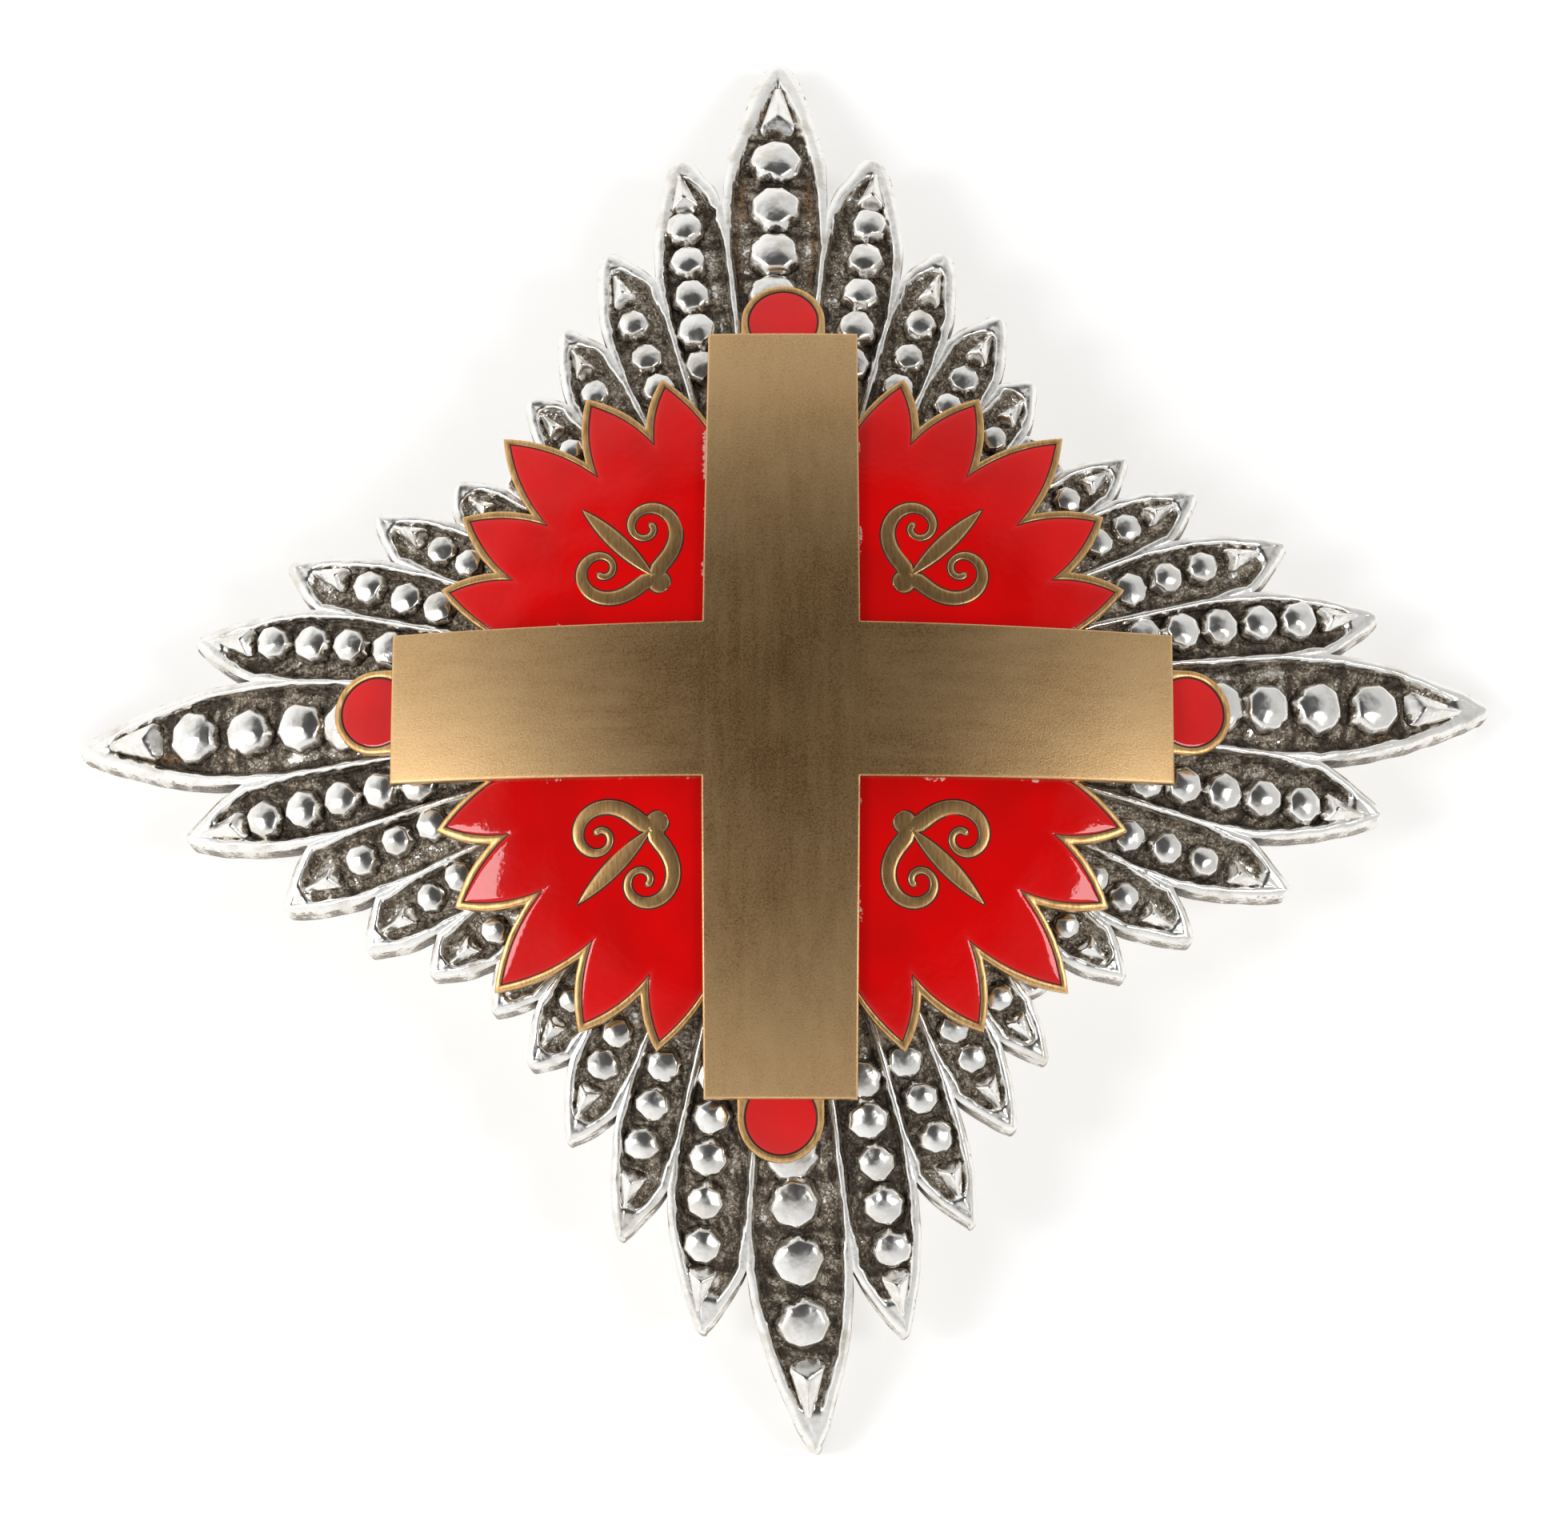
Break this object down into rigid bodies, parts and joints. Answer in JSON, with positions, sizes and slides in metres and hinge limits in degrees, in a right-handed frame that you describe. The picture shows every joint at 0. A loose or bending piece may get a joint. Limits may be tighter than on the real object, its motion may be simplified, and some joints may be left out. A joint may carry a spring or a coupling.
{
  "type": "breast star",
  "caption": "Domed silver breast star of cast rays with beads, red enamel lobes in gilt lines with scroll ornaments, and a plain brass cross on top.",
  "frame": {"origin": "middle of the star on the floor that its long rays' tips touch", "axes": "+Z towards the front of the star, +Y towards its top ray, +X to the right seen from the front"},
  "size_m": [0.0858, 0.0862, 0.0154],
  "materials": {
    "silvered_casting": "cast and silver-plated, polished rims, dark channels",
    "gilt_metal": "gilded, satin",
    "brass_sheet": "brushed and a little tarnished",
    "pin_wire": "drawn wire, nickel-plated",
    "red_enamel": "glossy opaque red enamel"
  },
  "bodies": {
    "root": {"star_body": "silvered_casting", "gilt_plate": "gilt_metal", "brass_cross": "brass_sheet", "brooch_pin": "pin_wire", "enamel_quarter_ne": "red_enamel", "enamel_quarter_nw": "red_enamel", "enamel_quarter_sw": "red_enamel", "enamel_quarter_se": "red_enamel", "enamel_disc_east": "red_enamel", "enamel_disc_north": "red_enamel", "enamel_disc_west": "red_enamel", "enamel_disc_south": "red_enamel"}
  },
  "joints": []
}
